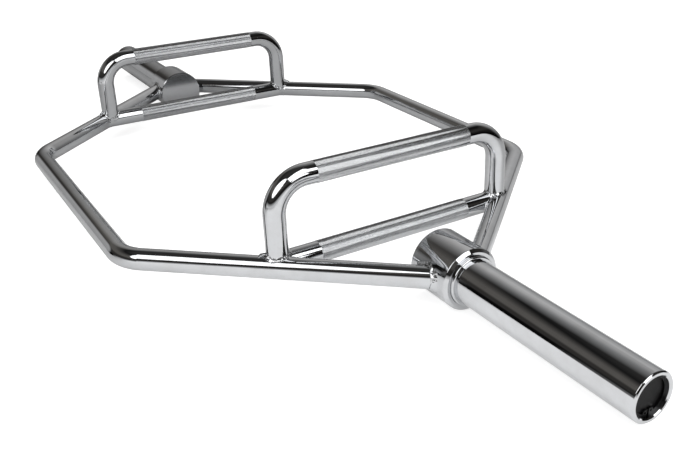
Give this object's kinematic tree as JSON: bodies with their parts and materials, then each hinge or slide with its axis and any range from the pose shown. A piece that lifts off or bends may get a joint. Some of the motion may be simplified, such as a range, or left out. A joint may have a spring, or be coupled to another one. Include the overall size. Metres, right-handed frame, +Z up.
{
  "type": "hex trap bar",
  "caption": "Chromed hexagonal bar for lifting from within, with raised and low knurled grips on each side and a turning plate sleeve at each end.",
  "frame": {"origin": "under the middle of the bar, at the height of the lowest point of the bosses", "axes": "+X along the sleeves, +Y across the hexagon, +Z up towards the high handles"},
  "size_m": [1.38, 0.594, 0.1443],
  "materials": {
    "frame_chrome": "polished chrome plate",
    "handle_chrome": "polished chrome plate",
    "boss_chrome": "polished chrome plate",
    "sleeve_chrome": "polished chrome plate",
    "inner_steel": "turned steel, oiled",
    "bush_bronze": "sintered bronze",
    "cap_black": "black satin",
    "snap_ring_black": "black oxide spring steel"
  },
  "bodies": {
    "frame": {"front_frame_bar": "frame_chrome", "rear_frame_bar": "frame_chrome", "right_high_handle": "handle_chrome", "right_low_handle": "handle_chrome", "right_boss_tube": "boss_chrome", "right_boss_end_plate": "boss_chrome", "right_spindle": "inner_steel", "right_spindle_bulkhead": "inner_steel", "right_thrust_washer": "bush_bronze", "right_retaining_washer": "inner_steel", "right_spindle_snap_ring": "snap_ring_black", "left_high_handle": "handle_chrome", "left_low_handle": "handle_chrome", "left_boss_tube": "boss_chrome", "left_boss_end_plate": "boss_chrome", "left_spindle": "inner_steel", "left_spindle_bulkhead": "inner_steel", "left_thrust_washer": "bush_bronze", "left_retaining_washer": "inner_steel", "left_spindle_snap_ring": "snap_ring_black"},
    "right_sleeve": {"right_sleeve_tube": "sleeve_chrome", "right_shoulder_ring": "sleeve_chrome", "right_inner_bush": "bush_bronze", "right_outer_bush": "bush_bronze", "right_end_cap": "cap_black", "right_cap_snap_ring": "snap_ring_black"},
    "left_sleeve": {"left_sleeve_tube": "sleeve_chrome", "left_shoulder_ring": "sleeve_chrome", "left_inner_bush": "bush_bronze", "left_outer_bush": "bush_bronze", "left_end_cap": "cap_black", "left_cap_snap_ring": "snap_ring_black"}
  },
  "joints": [
    {"name": "right_sleeve_spin", "type": "hinge", "parent": "frame", "child": "right_sleeve", "pos_m": [0.57, 0, 0.035], "axis": [1, 0, 0], "continuous": true},
    {"name": "left_sleeve_spin", "type": "hinge", "parent": "frame", "child": "left_sleeve", "pos_m": [-0.57, 0, 0.035], "axis": [-1, 0, 0], "continuous": true}
  ]
}
